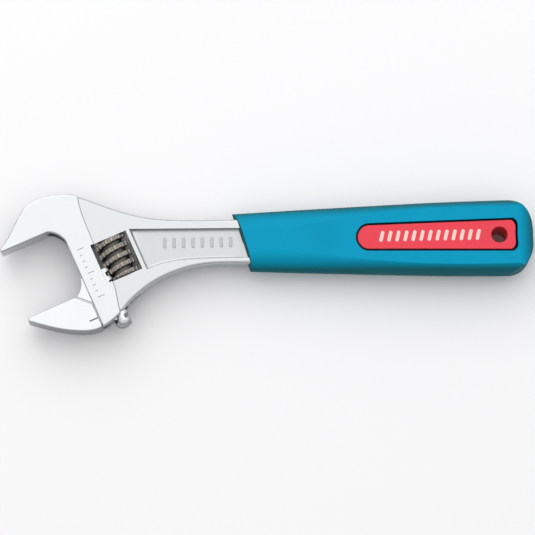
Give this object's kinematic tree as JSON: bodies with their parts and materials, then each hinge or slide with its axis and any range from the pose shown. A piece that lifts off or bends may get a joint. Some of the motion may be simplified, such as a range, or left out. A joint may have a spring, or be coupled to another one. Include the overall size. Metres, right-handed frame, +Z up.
{
  "type": "adjustable wrench",
  "caption": "Adjustable wrench with a wide angled head, sliding lower jaw driven by a knurled worm, and a soft moulded grip with a coloured inlay and hang hole.",
  "frame": {"origin": "middle of the footprint of the tool lying flat with the jaws fully open, on the surface that it lies on", "axes": "+X along the handle from the jaws to the butt, +Y towards the back of the fixed jaw, +Z up through the tool's thickness"},
  "size_m": [0.26, 0.0678, 0.0209],
  "materials": {
    "frame_chrome": "polished head, satin neck",
    "jaw_chrome": "polished",
    "worm_steel": "dark steel",
    "pin_steel": "turned",
    "spring_steel": "drawn wire",
    "core_plastic": "matte",
    "sleeve_rubber": "soft matte",
    "inlay_front_plastic": "semi gloss",
    "inlay_back_plastic": "semi gloss"
  },
  "bodies": {
    "frame": {"frame_forging": "frame_chrome", "worm_pin": "pin_steel", "worm_spring": "spring_steel", "grip_core": "core_plastic", "grip_sleeve": "sleeve_rubber", "label_inlay_front": "inlay_front_plastic", "label_inlay_back": "inlay_back_plastic"},
    "worm": {"worm": "worm_steel"},
    "jaw": {"movable_jaw": "jaw_chrome"}
  },
  "joints": [
    {"name": "jaw_slide", "type": "slide", "parent": "frame", "child": "jaw", "axis": [-0.3907, 0.9205, 0], "range_m": [0, 0.0347]},
    {"name": "worm_spin", "type": "hinge", "parent": "frame", "child": "worm", "pos_m": [-0.07354, 0.00321, 0.01047], "axis": [0.3907, -0.9205, 0], "range_deg": [0, 2776.1]}
  ],
  "couplings": [
    {"joint": "worm_spin", "follows": "jaw_slide", "rad_per_m": 1396.3}
  ]
}
